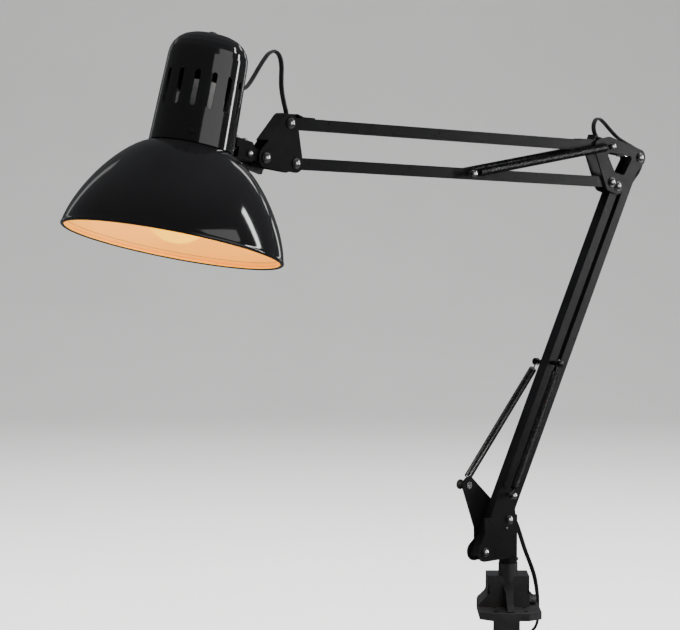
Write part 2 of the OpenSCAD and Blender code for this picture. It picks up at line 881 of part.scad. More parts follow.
function in_plane(route) = [for (p = route) [p.x, 0, p.y]];
function swung(route) = [for (p = route) [p.x * cos(arm_swing), p.x * sin(arm_swing), p.y]];
function unit(v) = v / norm(v);
function ring(route, i, sides) =
    let (
        n = len(route),
        ahead = unit(route[min(i + 1, n - 1)] - route[max(i - 1, 0)]),
        across = [0, 1, 0],
        flat = unit(cross(ahead, across))
    )
    [for (k = [0 : sides - 1]) let (a = 360 * k / sides)
        route[i] + cord_w / 2 * (across * cos(a) + 0.6 * flat * sin(a))];

// Closed tube of flat cord along a route
module cord_tube(route, sides = 10) {
    n = len(route);
    points = [for (i = [0 : n - 1]) each ring(route, i, sides)];
    walls = [for (i = [0 : n - 2], k = [0 : sides - 1])
        let (m = (k + 1) % sides)
        [i * sides + k, i * sides + m, (i + 1) * sides + m, (i + 1) * sides + k]];
    first = [for (k = [sides - 1 : -1 : 0]) k];
    last = [for (k = [0 : sides - 1]) (n - 1) * sides + k];
    polyhedron(points, concat([first], walls, [last]));
}

module cord_head_shade() {
    color("black") arm_plane() cord_tube(in_plane(head_shade_route));
}

module cord_head_bracket() {
    color("black") arm_plane() cord_tube(in_plane(head_bracket_route));
}

module cord_elbow_upper() {
    color("black") arm_plane() cord_tube(in_plane(elbow_upper_route));
}

module cord_elbow_lower() {
    color("black") arm_plane() cord_tube(in_plane(elbow_lower_route));
}

module cord_tail() {
    color("black") cord_tube(concat(swung(tail_route), tail_end_route));
}

module cord_lead() {
    color("black") cord_tube(lead_route);
}

// Outer shape of the turns, hanging in an upright plane behind the clamp
module cord_coil() {
    color("black") translate(coil_centre) rotate([90, 0, 0])
        rotate_extrude($fn = 64) translate([coil_d / 2, 0]) circle(r = coil_bundle, $fn = 32);
}

module cord_tie() {
    color("gray") translate(coil_centre) rotate([0, -tie_angle, 0]) translate([coil_d / 2, 0, -4])
        difference() {
            cylinder(r = coil_bundle + 1.4, h = 8);
            translate([0, 0, -1]) cylinder(r = coil_bundle + 0.4, h = 10);
        }
}

// Flat two-pin plug that tapers up to its cord
module plug_body() {
    h = plug_height;
    color("black") translate(plug_centre) intersection() {
        translate([0, 6.8, 0]) rotate([90, 0, 0]) linear_extrude(13.6)
            polygon([[-13, 0], [13, 0], [17.6, 5], [17.6, 14], [11, 22], [4.4, 28], [3.6, h], [-3.6, h],
                [-4.4, 28], [-11, 22], [-17.6, 14], [-17.6, 5]]);
        translate([-20, 0, 0]) rotate([90, 0, 90]) linear_extrude(40)
            polygon([[-5.6, 0], [5.6, 0], [6.8, 4], [6.8, 15], [3.4, 27], [2.6, h], [-2.6, h],
                [-3.4, 27], [-6.8, 15], [-6.8, 4]]);
    }
}

module plug_pins() {
    color("silver") for (x = [-9.3, 9.3]) translate(plug_centre + [x, 0, -19]) cylinder(r = 2, h = 19);
}

clamp_frame();
clamp_screw();
clamp_handle();
clamp_pad();
lock_screw();
hub_screw();
base_post();
base_plate_near();
base_plate_far();
base_bolts();
base_washers();
base_spring_pins();
lower_bar_right();
lower_bar_left();
lower_spring_pin();
lower_spring_hooks();
lower_spring_near();
lower_tip_near();
lower_spring_far();
lower_tip_far();
elbow_plate_near();
elbow_plate_far();
elbow_bolts();
elbow_washers();
elbow_spacer();
upper_bar_top();
upper_bar_bottom();
cord_guards();
upper_spring_pin();
upper_spring_hooks();
upper_spring_near();
upper_spring_far();
upper_tips();
head_bracket();
head_bolts();
head_washers();
tilt_wing_nut();
knuckle_block();
knuckle_screws();
shade_dome();
shade_cap();
cap_screws();
shade_stud();
holder_plate();
lamp_holder();
bulb_glass();
bulb_base();
switch_body();
switch_button();
cord_bush();
cord_head_shade();
cord_head_bracket();
cord_elbow_upper();
cord_elbow_lower();
cord_tail();
cord_coil();
cord_lead();
cord_tie();
plug_body();
plug_pins();
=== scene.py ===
"""Looks of a clamp-on desk lamp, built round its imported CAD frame. All lengths are in metres."""
import json
import math
import bmesh
import bpy
import numpy as np
from mathutils import Matrix, Vector


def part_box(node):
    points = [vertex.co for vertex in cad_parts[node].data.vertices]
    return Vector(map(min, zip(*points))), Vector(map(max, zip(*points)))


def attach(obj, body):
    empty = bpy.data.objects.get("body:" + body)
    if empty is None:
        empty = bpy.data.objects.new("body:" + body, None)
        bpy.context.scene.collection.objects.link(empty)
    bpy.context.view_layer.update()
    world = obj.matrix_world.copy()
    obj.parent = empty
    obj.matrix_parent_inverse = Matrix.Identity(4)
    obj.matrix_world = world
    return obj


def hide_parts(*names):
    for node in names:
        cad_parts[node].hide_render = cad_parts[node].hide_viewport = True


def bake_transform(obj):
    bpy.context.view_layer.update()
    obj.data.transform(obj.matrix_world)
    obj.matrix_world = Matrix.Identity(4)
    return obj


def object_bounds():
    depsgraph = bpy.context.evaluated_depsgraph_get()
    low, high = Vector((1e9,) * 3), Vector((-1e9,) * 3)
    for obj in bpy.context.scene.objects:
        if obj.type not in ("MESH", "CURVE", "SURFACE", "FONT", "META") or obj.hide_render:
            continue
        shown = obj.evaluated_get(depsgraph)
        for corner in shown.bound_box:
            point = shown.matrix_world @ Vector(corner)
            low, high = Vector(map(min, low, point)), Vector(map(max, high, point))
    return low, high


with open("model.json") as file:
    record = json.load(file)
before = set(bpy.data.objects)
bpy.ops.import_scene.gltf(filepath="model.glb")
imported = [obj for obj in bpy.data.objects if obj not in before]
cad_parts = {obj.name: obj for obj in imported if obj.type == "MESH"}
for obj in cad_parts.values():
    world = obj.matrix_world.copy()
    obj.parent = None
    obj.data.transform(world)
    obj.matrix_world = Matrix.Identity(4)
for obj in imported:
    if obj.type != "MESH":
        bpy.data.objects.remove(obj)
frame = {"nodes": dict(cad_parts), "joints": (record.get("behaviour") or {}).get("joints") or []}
cad_lo, cad_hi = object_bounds()
joints = {j["name"]: j for j in frame["joints"]}
MM = 0.001

# ---------------------------------------------------------------- places, from the frame
# The arms lie in one upright plane: ALONG runs from the shade to the elbow, ACROSS is its far normal.
ACROSS = Vector(joints["lower_arm_lift"]["axis"]).normalized()
UP = Vector((0, 0, 1))
ALONG = ACROSS.cross(UP).normalized()
SHADE_AXIS = -Vector(joints["switch_press"]["axis"]).normalized()
STUD_AXIS = ACROSS.cross(SHADE_AXIS).normalized()


def pivot(joint):
    """A joint's point, moved into the arms' middle plane."""
    p = Vector(joints[joint]["pos_m"])
    return p - ACROSS * p.dot(ACROSS)


def arm_point(s, z, y=0.0):
    """A point given in millimetres along the arm plane, up, and across it."""
    return (ALONG * s + UP * z + ACROSS * y) * MM


def centre_of(node):
    lo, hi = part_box(node)
    return (lo + hi) / 2


# ---------------------------------------------------------------- camera
target = Vector((-0.1568, -0.1488, 0.2872))
elevation = math.radians(3.8)
distance = 2.25
back = Vector((0, -math.cos(elevation), math.sin(elevation)))
cam_data = bpy.data.cameras.new("camera")
cam_data.sensor_width = 36
cam_data.lens = 136.96
cam = bpy.data.objects.new("camera", cam_data)
cam.location = target + back * distance
cam.rotation_euler = (-back).to_track_quat("-Z", "Y").to_euler()
bpy.context.scene.collection.objects.link(cam)
bpy.context.scene.camera = cam


# ---------------------------------------------------------------- mesh helpers
def make_object(name, verts, faces):
    mesh = bpy.data.meshes.new(name)
    mesh.from_pydata([tuple(v) for v in verts], [], faces)
    bm = bmesh.new()
    bm.from_mesh(mesh)
    bmesh.ops.recalc_face_normals(bm, faces=bm.faces)
    bm.to_mesh(mesh)
    bm.free()
    mesh.shade_smooth()
    obj = bpy.data.objects.new(name, mesh)
    bpy.context.scene.collection.objects.link(obj)
    return obj


class Solid:
    """Collects closed shells, each placed by a matrix, into one mesh."""

    def __init__(self):
        self.verts, self.faces = [], []

    def add(self, verts, faces, place):
        base = len(self.verts)
        self.verts += [place @ Vector(v) for v in verts]
        self.faces += [tuple(base + i for i in f) for f in faces]

    def build(self, name, materials, body, angle=40):
        obj = make_object(name, self.verts, self.faces)
        for m in materials:
            obj.data.materials.append(m)
        obj.data.set_sharp_from_angle(angle=math.radians(angle))
        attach(obj, body)
        return obj


def round_section(radius, sides):
    return [(radius * math.cos(2 * math.pi * k / sides), radius * math.sin(2 * math.pi * k / sides))
            for k in range(sides)]


def lathe(profile, segments, closed=False):
    """Turns (radius, height) points about z.

    Points at radius 0 become poles; a closed profile is a loop.
    """
    verts, rings = [], []
    for r, h in profile:
        if r < 1e-9:
            rings.append([len(verts)])
            verts.append((0, 0, h))
        else:
            rings.append(list(range(len(verts), len(verts) + segments)))
            verts += [(x, y, h) for x, y in round_section(r, segments)]
    faces = []
    for a, b in zip(rings, rings[1:] + (rings[:1] if closed else [])):
        for k in range(segments):
            m = (k + 1) % segments
            if len(a) == 1 and len(b) > 1:
                faces.append((a[0], b[m], b[k]))
            elif len(b) == 1 and len(a) > 1:
                faces.append((a[k], a[m], b[0]))
            elif len(a) > 1:
                faces.append((a[k], a[m], b[m], b[k]))
    return verts, faces


def placed(origin, z_axis, x_axis=None):
    """Matrix that puts a mesh's z axis along z_axis at origin."""
    z = Vector(z_axis).normalized()
    x = Vector(x_axis) if x_axis is not None else z.orthogonal()
    x = (x - z * x.dot(z)).normalized()
    y = z.cross(x)
    m = Matrix((x, y, z)).transposed().to_4x4()
    m.translation = origin
    return m


def catmull(points, step=0.0012):
    """Evenly spaced points on a smooth line through the given ones."""
    p = np.array([tuple(q) for q in points], float)
    p = np.vstack([2 * p[0] - p[1], p, 2 * p[-1] - p[-2]])
    fine = []
    for i in range(1, len(p) - 2):
        a, b, c, d = p[i - 1 : i + 3]
        for t in np.linspace(0, 1, 24, endpoint=False):
            fine.append(0.5 * (2 * b + (c - a) * t + (2 * a - 5 * b + 4 * c - d) * t * t
                               + (3 * b - a - 3 * c + d) * t ** 3))
    fine.append(p[-2])
    fine = np.array(fine)
    dist = np.concatenate([[0], np.cumsum(np.linalg.norm(np.diff(fine, axis=0), axis=1))])
    n = max(2, int(round(dist[-1] / step)))
    even = np.linspace(0, dist[-1], n + 1)
    return np.stack([np.interp(even, dist, fine[:, k]) for k in range(3)], 1)


def twin_section(width, sides=22):
    """Outline of flat twin cord: two round cores side by side under one sheath with a waist."""
    thick = width * 0.55
    out = []
    for k in range(sides):
        a = 2 * math.pi * k / sides
        u = math.cos(a)
        waist = 1 - 0.2 * math.exp(-((u * width / 2) / (0.16 * width)) ** 2)
        out.append((width / 2 * u, thick / 2 * math.copysign(abs(math.sin(a)) ** 0.75, math.sin(a)) * waist))
    return out


def sweep(line, section, across):
    """Closed tube along a line. across is one direction, or one for each point, of the section's x."""
    line = np.asarray(line, float)
    tangent = np.gradient(line, axis=0)
    tangent /= np.linalg.norm(tangent, axis=1)[:, None]
    side = np.broadcast_to(np.asarray(across, float), line.shape)
    side = side - tangent * (side * tangent).sum(1)[:, None]
    side = side / np.linalg.norm(side, axis=1)[:, None]
    flat = np.cross(tangent, side)
    n = len(section)
    sec = np.array(section)
    rings = line[:, None] + side[:, None] * sec[None, :, :1] + flat[:, None] * sec[None, :, 1:]
    verts = rings.reshape(-1, 3)
    faces = [(i * n + k, i * n + (k + 1) % n, (i + 1) * n + (k + 1) % n, (i + 1) * n + k)
             for i in range(len(line) - 1) for k in range(n)]
    faces += [tuple(range(n))[::-1], tuple((len(line) - 1) * n + k for k in range(n))]
    return [tuple(v) for v in verts], faces


# ---------------------------------------------------------------- materials
NOISE_ROUGHNESS = 0.55


def new_material(name):
    mat = bpy.data.materials.new(name)
    mat.use_nodes = True
    return mat, mat.node_tree, mat.node_tree.nodes["Principled BSDF"]


def noise(tree, scale, detail=4.0):
    tex = tree.nodes.new("ShaderNodeTexNoise")
    tex.inputs["Scale"].default_value = scale
    tex.inputs["Detail"].default_value = detail
    tex.inputs["Roughness"].default_value = NOISE_ROUGHNESS
    coord = tree.nodes.new("ShaderNodeTexCoord")
    tree.links.new(coord.outputs["Object"], tex.inputs["Vector"])
    return tex


def ramp(tree, source, stops):
    """Maps a value through two (position, colour or grey) stops."""
    node = tree.nodes.new("ShaderNodeValToRGB")
    elements = node.color_ramp.elements
    for element, (at, colour) in zip(elements, stops):
        element.position = at
        element.color = (*colour, 1) if isinstance(colour, tuple) else (colour, colour, colour, 1)
    tree.links.new(source, node.inputs["Fac"])
    return node.outputs["Color"]


def add_bump(tree, bsdf, source, strength, distance):
    bump = tree.nodes.new("ShaderNodeBump")
    bump.inputs["Strength"].default_value = strength
    bump.inputs["Distance"].default_value = distance
    tree.links.new(source, bump.inputs["Height"])
    tree.links.new(bump.outputs["Normal"], bsdf.inputs["Normal"])


def coated_metal(name, low, high, rough_low, rough_high, grain, bump, wave=60, coat=0.0, shine=0.5):
    """Paint over metal: slight colour drift, uneven roughness and an orange-peel skin."""
    mat, tree, bsdf = new_material(name)
    drift = noise(tree, wave)
    tree.links.new(ramp(tree, drift.outputs["Fac"], [(0.3, low), (0.7, high)]), bsdf.inputs["Base Color"])
    smear = noise(tree, wave * 2.3, 6)
    rough = ramp(tree, smear.outputs["Fac"], [(0.3, rough_low), (0.75, rough_high)])
    tree.links.new(rough, bsdf.inputs["Roughness"])
    skin = noise(tree, grain, 2)
    add_bump(tree, bsdf, skin.outputs["Fac"], bump, 0.0002)
    bsdf.inputs["Specular IOR Level"].default_value = shine
    bsdf.inputs["Coat Weight"].default_value = coat
    bsdf.inputs["Coat Roughness"].default_value = 0.04
    return mat


def bright_metal(name, low, high, rough_low, rough_high, grain=900):
    mat, tree, bsdf = new_material(name)
    bsdf.inputs["Metallic"].default_value = 1.0
    drift = noise(tree, 240)
    tree.links.new(ramp(tree, drift.outputs["Fac"], [(0.3, low), (0.7, high)]), bsdf.inputs["Base Color"])
    smear = noise(tree, grain, 5)
    rough = ramp(tree, smear.outputs["Fac"], [(0.3, rough_low), (0.7, rough_high)])
    tree.links.new(rough, bsdf.inputs["Roughness"])
    add_bump(tree, bsdf, smear.outputs["Fac"], 0.15, 0.00005)
    return mat


def plastic(name, low, high, rough_low, rough_high, grain, bump):
    mat, tree, bsdf = new_material(name)
    drift = noise(tree, 90)
    tree.links.new(ramp(tree, drift.outputs["Fac"], [(0.3, low), (0.7, high)]), bsdf.inputs["Base Color"])
    fine = noise(tree, grain, 3)
    rough = ramp(tree, fine.outputs["Fac"], [(0.3, rough_low), (0.7, rough_high)])
    tree.links.new(rough, bsdf.inputs["Roughness"])
    add_bump(tree, bsdf, fine.outputs["Fac"], bump, 0.00015)
    return mat


enamel = coated_metal("gloss_black_enamel", (0.004, 0.004, 0.0045), (0.007, 0.007, 0.0075),
                      0.07, 0.14, grain=520, bump=0.05, wave=14, coat=0.6)
powder = coated_metal("black_powder_coat", (0.004, 0.004, 0.0044), (0.007, 0.007, 0.0075),
                      0.27, 0.33, grain=1500, bump=0.16, shine=0.11)
casting = coated_metal("black_casting", (0.010, 0.010, 0.011), (0.022, 0.022, 0.023),
                       0.30, 0.46, grain=900, bump=0.4, shine=0.4)
# Cream paint with the lit bulb's warm orange glow painted into its colour
cream_and_painted_glow = coated_metal("cream_enamel_and_painted_glow", (0.80, 0.46, 0.06), (0.84, 0.51, 0.08),
                     0.3, 0.42, grain=420, bump=0.06, wave=18)
# Painted shadow for the crease of the step near the rim, brown in the bulb's warm tint
painted_step_shadow = coated_metal("painted_step_shadow", (0.30, 0.13, 0.015), (0.36, 0.17, 0.02),
                        0.4, 0.5, grain=420, bump=0.06, wave=18)
nickel = bright_metal("bright_nickel", (0.66, 0.66, 0.64), (0.80, 0.80, 0.78), 0.12, 0.28)
black_zinc = bright_metal("black_zinc", (0.06, 0.06, 0.06), (0.12, 0.12, 0.12), 0.25, 0.45)
wire = bright_metal("black_spring_wire", (0.10, 0.10, 0.10), (0.17, 0.17, 0.17), 0.2, 0.36)
screw_cap = bright_metal("bulb_cap_metal", (0.70, 0.69, 0.66), (0.82, 0.81, 0.78), 0.2, 0.35)
sheath = plastic("cord_sheath", (0.010, 0.010, 0.011), (0.018, 0.018, 0.019),
                 0.3, 0.44, grain=700, bump=0.12)
moulded = plastic("moulded_plastic", (0.012, 0.012, 0.013), (0.022, 0.022, 0.023),
                  0.36, 0.55, grain=2200, bump=0.35)
porcelain = plastic("porcelain", (0.78, 0.77, 0.74), (0.84, 0.83, 0.80),
                    0.18, 0.3, grain=600, bump=0.05)


def lit_glass():
    """Frosted bulb glass that glows warm."""
    mat, tree, bsdf = new_material("lit_bulb_glass")
    cloud = noise(tree, 70)
    tint = ramp(tree, cloud.outputs["Fac"], [(0.3, (1.0, 0.44, 0.0)), (0.7, (1.0, 0.49, 0.0))])
    tree.links.new(tint, bsdf.inputs["Emission Color"])
    tree.links.new(tint, bsdf.inputs["Base Color"])
    bsdf.inputs["Emission Strength"].default_value = 1.7
    bsdf.inputs["Roughness"].default_value = 0.35
    return mat


bulb_lit = lit_glass()

# ---------------------------------------------------------------- cord
CORD_W = 0.005
# Routes in millimetres: (along, up) in the arms' plane, or (x, y, z) where a name ends in END or is LEAD
HEAD_SHADE = [(-335.2, 482.7), (-331.2, 481.6), (-327, 481.7), (-322.8, 484.2), (-318.8, 488.4),
              (-314, 494.4), (-308.7, 501.2), (-304, 506.7), (-299, 511.6), (-293, 514)]
HEAD_BRACKET = [(-293, 514), (-288.5, 512), (-285.6, 507.5), (-284.4, 501), (-284.6, 493), (-284.6, 485),
                (-283.4, 477), (-281.4, 469.5), (-279.4, 463), (-278.2, 456.6)]
ELBOW_UPPER = [(127.5, 436.6), (123.6, 440), (119.8, 444.4), (117.6, 449.4), (117.8, 454.8), (121, 459),
               (126, 459.4), (131, 456.8), (137, 452.4), (144, 447.2), (152, 442), (161, 438), (170, 434.6),
               (178, 431.4)]
ELBOW_LOWER = [(178, 431.4), (185.6, 428.2), (188.4, 422.2), (186.8, 414.6), (182.6, 408), (176.8, 402.4),
               (171.4, 397.4)]
TAIL = [(-2.7, 88.2), (1.8, 88.4), (6.6, 86.4), (10.8, 82), (14.4, 75), (18.4, 66), (23, 56), (28, 46.5),
        (33, 37), (37, 27.5), (39.6, 17.5), (41.2, 7), (41.8, -4)]
TAIL_END = [(30.2, 30, -13.5), (28, 31.6, -21), (23.2, 33.4, -26.6), (17.2, 35, -32), (11.2, 36, -37.6)]
LEAD = [(0.4, 40.4, -74), (1.4, 39.4, -82), (2.2, 38, -90), (2.6, 36.8, -98), (2.8, 36.2, -106)]
COIL_CENTRE = centre_of("cord_coil")
COIL_R = 0.028
# Places of the nine turns in the bundle, as (outward, across) in steps of one cord
TURNS = [(1, 0), (1, -1), (0, -1), (-1, -1), (-1, 0), (0, 0), (-1, 1), (0, 1), (1, 1)]
COIL_START = math.radians(141)
COIL_SWEEP = math.radians(360 * len(TURNS) + 47)
COIL_STEPS = 36             # points in each turn
TURN_OUT, TURN_ACROSS = 0.0029, 0.0051   # one step outward and one across the bundle
MOVE_FROM, MOVE_SPAN = 0.82, 0.18   # part of a turn in which the cord moves to its next place


def coil_line():
    """The wound turns: each moves to its next place while it passes the tie."""
    points = []
    steps = COIL_STEPS * len(TURNS)
    for i in range(steps + 1):
        turned = COIL_SWEEP * i / steps
        turn = min(turned / (2 * math.pi), len(TURNS) - 1e-6)
        k = int(turn)
        blend_in = max(0.0, (turn - k - MOVE_FROM) / MOVE_SPAN)
        blend_in = blend_in * blend_in * (3 - 2 * blend_in)
        here, after = TURNS[k], TURNS[min(k + 1, len(TURNS) - 1)]
        out = here[0] * (1 - blend_in) + after[0] * blend_in
        side = here[1] * (1 - blend_in) + after[1] * blend_in
        r = COIL_R + out * TURN_OUT
        a = COIL_START + turned
        points.append(COIL_CENTRE + Vector((r * math.cos(a), side * TURN_ACROSS, r * math.sin(a))))
    return points


def twin_cord(name, line, across, nodes):
    verts, faces = sweep(line, twin_section(CORD_W), across)
    obj = make_object(name, verts, faces)
    obj.data.materials.append(sheath)
    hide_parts(*nodes)
    return obj


def in_plane(route):
    return catmull([arm_point(s, z) for s, z in route])


head_shade = twin_cord("head_cord_shade", in_plane(HEAD_SHADE), ACROSS, ["cord_head_shade"])
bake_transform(head_shade)
head_bracket = twin_cord("head_cord_bracket", in_plane(HEAD_BRACKET), ACROSS, ["cord_head_bracket"])
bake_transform(head_bracket)
elbow_upper = twin_cord("elbow_cord_upper", in_plane(ELBOW_UPPER), ACROSS, ["cord_elbow_upper"])
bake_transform(elbow_upper)
elbow_lower = twin_cord("elbow_cord_lower", in_plane(ELBOW_LOWER), ACROSS, ["cord_elbow_lower"])
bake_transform(elbow_lower)

# Below TWIST_TOP the cord's flat side turns from the arms' plane to the coil's, over TWIST_SPAN of height
TWIST_TOP, TWIST_SPAN = 0.03, 0.05
tail_points = ([arm_point(s, z) for s, z in TAIL] + [Vector(p) * MM for p in TAIL_END] + coil_line()
               + [Vector(p) * MM for p in LEAD])
tail_line = catmull(tail_points, 0.0016)
turn_at = np.clip((TWIST_TOP - tail_line[:, 2]) / TWIST_SPAN, 0, 1)[:, None]
tail_across = np.array(ACROSS) * (1 - turn_at) + np.array((0, 1, 0)) * turn_at
cord_tail = twin_cord("supply_cord", tail_line, tail_across, ["cord_tail", "cord_coil", "cord_lead"])
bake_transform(cord_tail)

# ---------------------------------------------------------------- springs
WIRE_R = 0.0006
COIL_MEAN = 0.0032
COIL_PITCH, COIL_POINTS = 0.0016, 14   # advance and points of one turn
SPRING_GAP = 0.0085         # from a pin to the first turn
EYE_R = 0.0029
HOOK_REACH = 0.024


def spring_line(length):
    """Wire of a tension spring along x from its pin: eye, rise to the coil, close turns."""
    points = []
    for i in range(25):
        a = math.radians(35 + 290 * i / 24)
        points.append((EYE_R * math.cos(a), 0, EYE_R * math.sin(a)))
    points.append((EYE_R + 0.0013, 0, -0.0008))
    points.append((SPRING_GAP - 0.0022, 0, 0.0002))
    points.append((SPRING_GAP - 0.0008, 0.0006, 0.0017))
    start, stop = SPRING_GAP, length - SPRING_GAP
    turns = int((stop - start) / COIL_PITCH)
    for i in range(turns * COIL_POINTS + 1):
        a = math.pi / 2 - 2 * math.pi * i / COIL_POINTS
        x = start + (stop - start) * i / (turns * COIL_POINTS)
        points.append((x, COIL_MEAN * math.cos(a), COIL_MEAN * math.sin(a)))
    return np.array(points)


def hook_line(reach):
    """Wire of the loose hook on the other pin, its shank running into the coil."""
    points = []
    for i in range(25):
        a = math.radians(325 - 290 * i / 24)
        points.append((EYE_R * math.cos(a), 0, EYE_R * math.sin(a)))
    points.append((EYE_R + 0.0016, 0, 0.0004))
    for i in range(6):
        points.append((EYE_R + 0.003 + (reach - 0.006) * i / 5, 0, 0))
    return np.array(points)


def tube_shell(local, radius, sides):
    """Round wire along a local line, with frames carried along it."""
    tangent = np.gradient(local, axis=0)
    tangent /= np.linalg.norm(tangent, axis=1)[:, None]
    side = np.zeros_like(local)
    side[0] = np.cross(tangent[0], (0.1, 1, 0.2))
    for i in range(1, len(local)):
        side[i] = side[i - 1] - tangent[i] * (side[i - 1] @ tangent[i])
        side[i] /= np.linalg.norm(side[i])
    side[0] /= np.linalg.norm(side[0])
    return sweep(local, round_section(radius, sides), side)


def spring(name, anchor, stretch, pin, offset, nodes):
    """A coil from the joint named anchor towards the pin, laid along the axis of the joint named stretch."""
    origin = pivot(anchor) + ACROSS * offset
    aim = Vector(joints[stretch]["axis"])
    length = (pin + ACROSS * offset - origin).length
    verts, faces = tube_shell(spring_line(length), WIRE_R, 6)
    place = placed(origin, ACROSS.cross(aim), aim)
    obj = make_object(name, [place @ Vector(v) for v in verts], faces)
    obj.data.materials.append(wire)
    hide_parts(*nodes)
    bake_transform(obj)
    return origin


def hooks(name, pin, ends, body, node):
    """Hooks on one pin, each aimed at its spring's anchor."""
    solid = Solid()
    for origin, offset in ends:
        at = pin + ACROSS * offset
        verts, faces = tube_shell(hook_line(HOOK_REACH), WIRE_R, 8)
        solid.add(verts, faces, placed(at, ACROSS.cross(origin - at), origin - at))
    obj = solid.build(name, [wire], body)
    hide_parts(node)


LOWER_Y, UPPER_Y = 0.0135, 0.0115   # springs' distance from the arms' middle plane


def plane_centre(node):
    c = centre_of(node)
    return c - ACROSS * c.dot(ACROSS)


lower_pin = plane_centre("lower_spring_pin")
upper_pin = plane_centre("upper_spring_pin")
near_o = spring("spring_lower_near", "near_spring_turn", "near_spring_stretch", lower_pin, -LOWER_Y,
                ["lower_spring_near", "lower_tip_near"])
far_o = spring("spring_lower_far", "far_spring_turn", "far_spring_stretch", lower_pin, LOWER_Y,
               ["lower_spring_far", "lower_tip_far"])
hooks("hooks_lower", lower_pin, [(near_o, -LOWER_Y), (far_o, LOWER_Y)], "lower_left", "lower_spring_hooks")
up_n = spring("spring_upper_near", "upper_spring_turn", "upper_spring_stretch", upper_pin, -UPPER_Y,
              ["upper_spring_near", "upper_tips"])
up_f = spring("spring_upper_far", "upper_spring_turn", "upper_spring_stretch", upper_pin, UPPER_Y,
              ["upper_spring_far"])
hooks("hooks_upper", upper_pin, [(up_n, -UPPER_Y), (up_f, UPPER_Y)], "upper_bottom", "upper_spring_hooks")

# ---------------------------------------------------------------- shade dome
SHADE_R, DOME_NECK, DOME_H, SHELL = 0.0925, 0.0325, 0.081, 0.0012
LIP_TOP = 0.0825            # top of the lip round the neck, which keeps the light in
ROUND_POWER, RISE_POWER = 1.381, 1.395
RIM_START = 0.0016          # height at which the rolled rim ends and the spun wall begins
DOME_SIDES = 160
STUD_Z, STUD_REACH = 0.09207, 0.07616
rim_centre = pivot("head_tilt") - STUD_AXIS * STUD_REACH - SHADE_AXIS * STUD_Z
dome_place = placed(rim_centre, SHADE_AXIS, STUD_AXIS)


def dome_curve(inset, n=40):
    out = []
    for i in range(n + 1):
        a = math.radians(90 * i / n)
        out.append((DOME_NECK + (SHADE_R - DOME_NECK - inset) * max(math.cos(a), 0) ** ROUND_POWER,
                    (DOME_H - inset) * math.sin(a) ** RISE_POWER))
    return out


def dome():
    """Spun shell with a rolled rim: enamel outside; inside, cream with the bulb's warm glow painted into it,
    and a painted shadow along the step near the rim.
    """
    bead_r = 0.0017
    bead_at = (SHADE_R - 0.0012, 0.0002)
    outer = [p for p in dome_curve(0) if p[1] > RIM_START]
    groove_z, groove, groove_edge = 0.0048, 0.0006, 0.0004
    inner = [p for p in dome_curve(SHELL) if p[1] > RIM_START]
    after = next(i for i, p in enumerate(inner) if p[1] > groove_z + groove_edge)
    (r0, z0), (r1, z1) = inner[after - 1], inner[after]
    edge_r = r0 + (r1 - r0) * (groove_z - z0) / (z1 - z0)
    inner = [(r + groove / 2, z) for r, z in inner[:after] if z < groove_z - groove_edge] + [
        (edge_r + groove / 2, groove_z - 0.0002), (edge_r, groove_z + 0.0002)] + inner[after:]
    # The ring of faces at the step, which gets the painted shadow
    step_shadow_ring = len(inner) - 1 - next(i for i, p in enumerate(inner) if p[1] > groove_z)
    bead = [(bead_at[0] + bead_r * math.cos(math.radians(a)), bead_at[1] + bead_r * math.sin(math.radians(a)))
            for a in range(-215, 46, 20)]
    flange = [(DOME_NECK, LIP_TOP), (DOME_NECK - SHELL, LIP_TOP), (DOME_NECK - SHELL, DOME_H),
              (DOME_NECK - 0.003, DOME_H), (DOME_NECK - 0.003, DOME_H - SHELL)]
    verts, faces = lathe(inner[::-1] + bead + outer + flange, DOME_SIDES, closed=True)
    solid = Solid()
    solid.add(verts, faces, dome_place)
    obj = solid.build("shade_dome_shell", [enamel, cream_and_painted_glow, painted_step_shadow], "shade", 60)
    cream_upto = len(inner) + 3   # the inner wall and the inner quarter of the rim
    # Inner faces take the cream with painted glow; the ring at the step takes the painted shadow
    for i, face in enumerate(obj.data.polygons):
        ring = i // DOME_SIDES
        face.material_index = 2 if ring == step_shadow_ring else 1 if ring < cream_upto else 0
    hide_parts("shade_dome")


dome()


GLOBE_R, GLOBE_Z = 0.030, 0.031


def bulb_shell():
    """Glass globe that runs into a tapered neck, closed at the collar."""
    neck_r, neck_z = 0.013, 0.0837
    points = [(0.0, GLOBE_Z - GLOBE_R)]
    points += [(GLOBE_R * math.sin(math.radians(a)), GLOBE_Z - GLOBE_R * math.cos(math.radians(a)))
               for a in range(6, 121, 6)]
    foot_r, foot_z = points[-1]
    for i in range(1, 15):
        t = i / 14
        ease = t * t * (3 - 2 * t)
        slope = (1 - t) * t * 0.004
        points.append((foot_r + (neck_r - foot_r) * ease - slope, foot_z + (neck_z - foot_z) * t))
    points.append((0.0, neck_z))
    solid = Solid()
    solid.add(*lathe(points, 96), dome_place)
    obj = solid.build("bulb_globe", [bulb_lit], "shade", 50)
    obj.visible_shadow = False
    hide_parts("bulb_glass")


bulb_shell()

